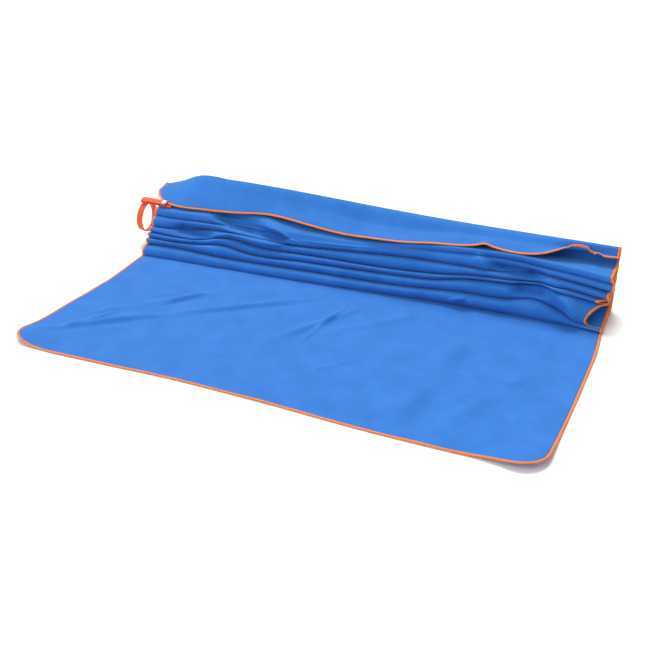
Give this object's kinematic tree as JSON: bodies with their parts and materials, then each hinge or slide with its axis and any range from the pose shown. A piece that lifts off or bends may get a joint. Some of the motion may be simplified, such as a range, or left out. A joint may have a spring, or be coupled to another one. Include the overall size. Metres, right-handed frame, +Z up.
{
  "type": "quick dry towel",
  "caption": "Rectangular microfibre travel towel with overlocked edging, half spread: flat front, pleated pile, folded-over flap and a webbing hanging loop with a press stud.",
  "frame": {"origin": "on the floor, half way across the towel's width and half way between its front edge and the rear of its crest", "axes": "+X across the towel to the right, +Y from its flat front towards the pleated pile, +Z up"},
  "size_m": [0.8315, 0.4834, 0.1067],
  "materials": {
    "cloth": "brushed microfibre suede",
    "edging": "overlocked polyester thread",
    "webbing": "narrow woven polyester webbing",
    "thread": "bar-tack thread",
    "snap_metal": "nickel plated"
  },
  "bodies": {
    "towel_body": {"rear_panel": "cloth", "panel_edging": "edging", "bottom_pleat": "cloth", "second_pleat": "cloth", "third_pleat": "cloth", "fourth_pleat": "cloth", "top_pleat": "cloth", "left_pleat_edging": "edging", "right_pleat_edging": "edging", "crest_fold": "cloth", "strap_anchor": "webbing", "strap_stitching": "thread", "snap_post": "snap_metal", "snap_socket": "snap_metal"},
    "front_fold": {"front_panel": "cloth", "front_edging": "edging"},
    "flap": {"back_flap": "cloth", "flap_edging": "edging"},
    "loop": {"hanging_loop": "webbing"},
    "tab": {"closing_tab": "webbing", "snap_stud": "snap_metal", "snap_cap": "snap_metal"}
  },
  "joints": [
    {"name": "front_fold_back", "type": "hinge", "parent": "towel_body", "child": "front_fold", "pos_m": [0, -0.07873, 0.0095], "axis": [-1, 0, 0], "range_deg": [0, 180]},
    {"name": "flap_lift", "type": "hinge", "parent": "towel_body", "child": "flap", "pos_m": [0, 0.24, 0.11], "axis": [-1, 0, 0], "range_deg": [0, 270]},
    {"name": "loop_swing", "type": "hinge", "parent": "towel_body", "child": "loop", "pos_m": [-0.4315, 0.1564, 0.07414], "axis": [0, 1, 0], "range_deg": [0, 120]},
    {"name": "tab_release", "type": "hinge", "parent": "towel_body", "child": "tab", "pos_m": [-0.4182, 0.15502, 0.0816], "axis": [0, -0.9563, -0.2924], "range_deg": [0, 100]}
  ]
}
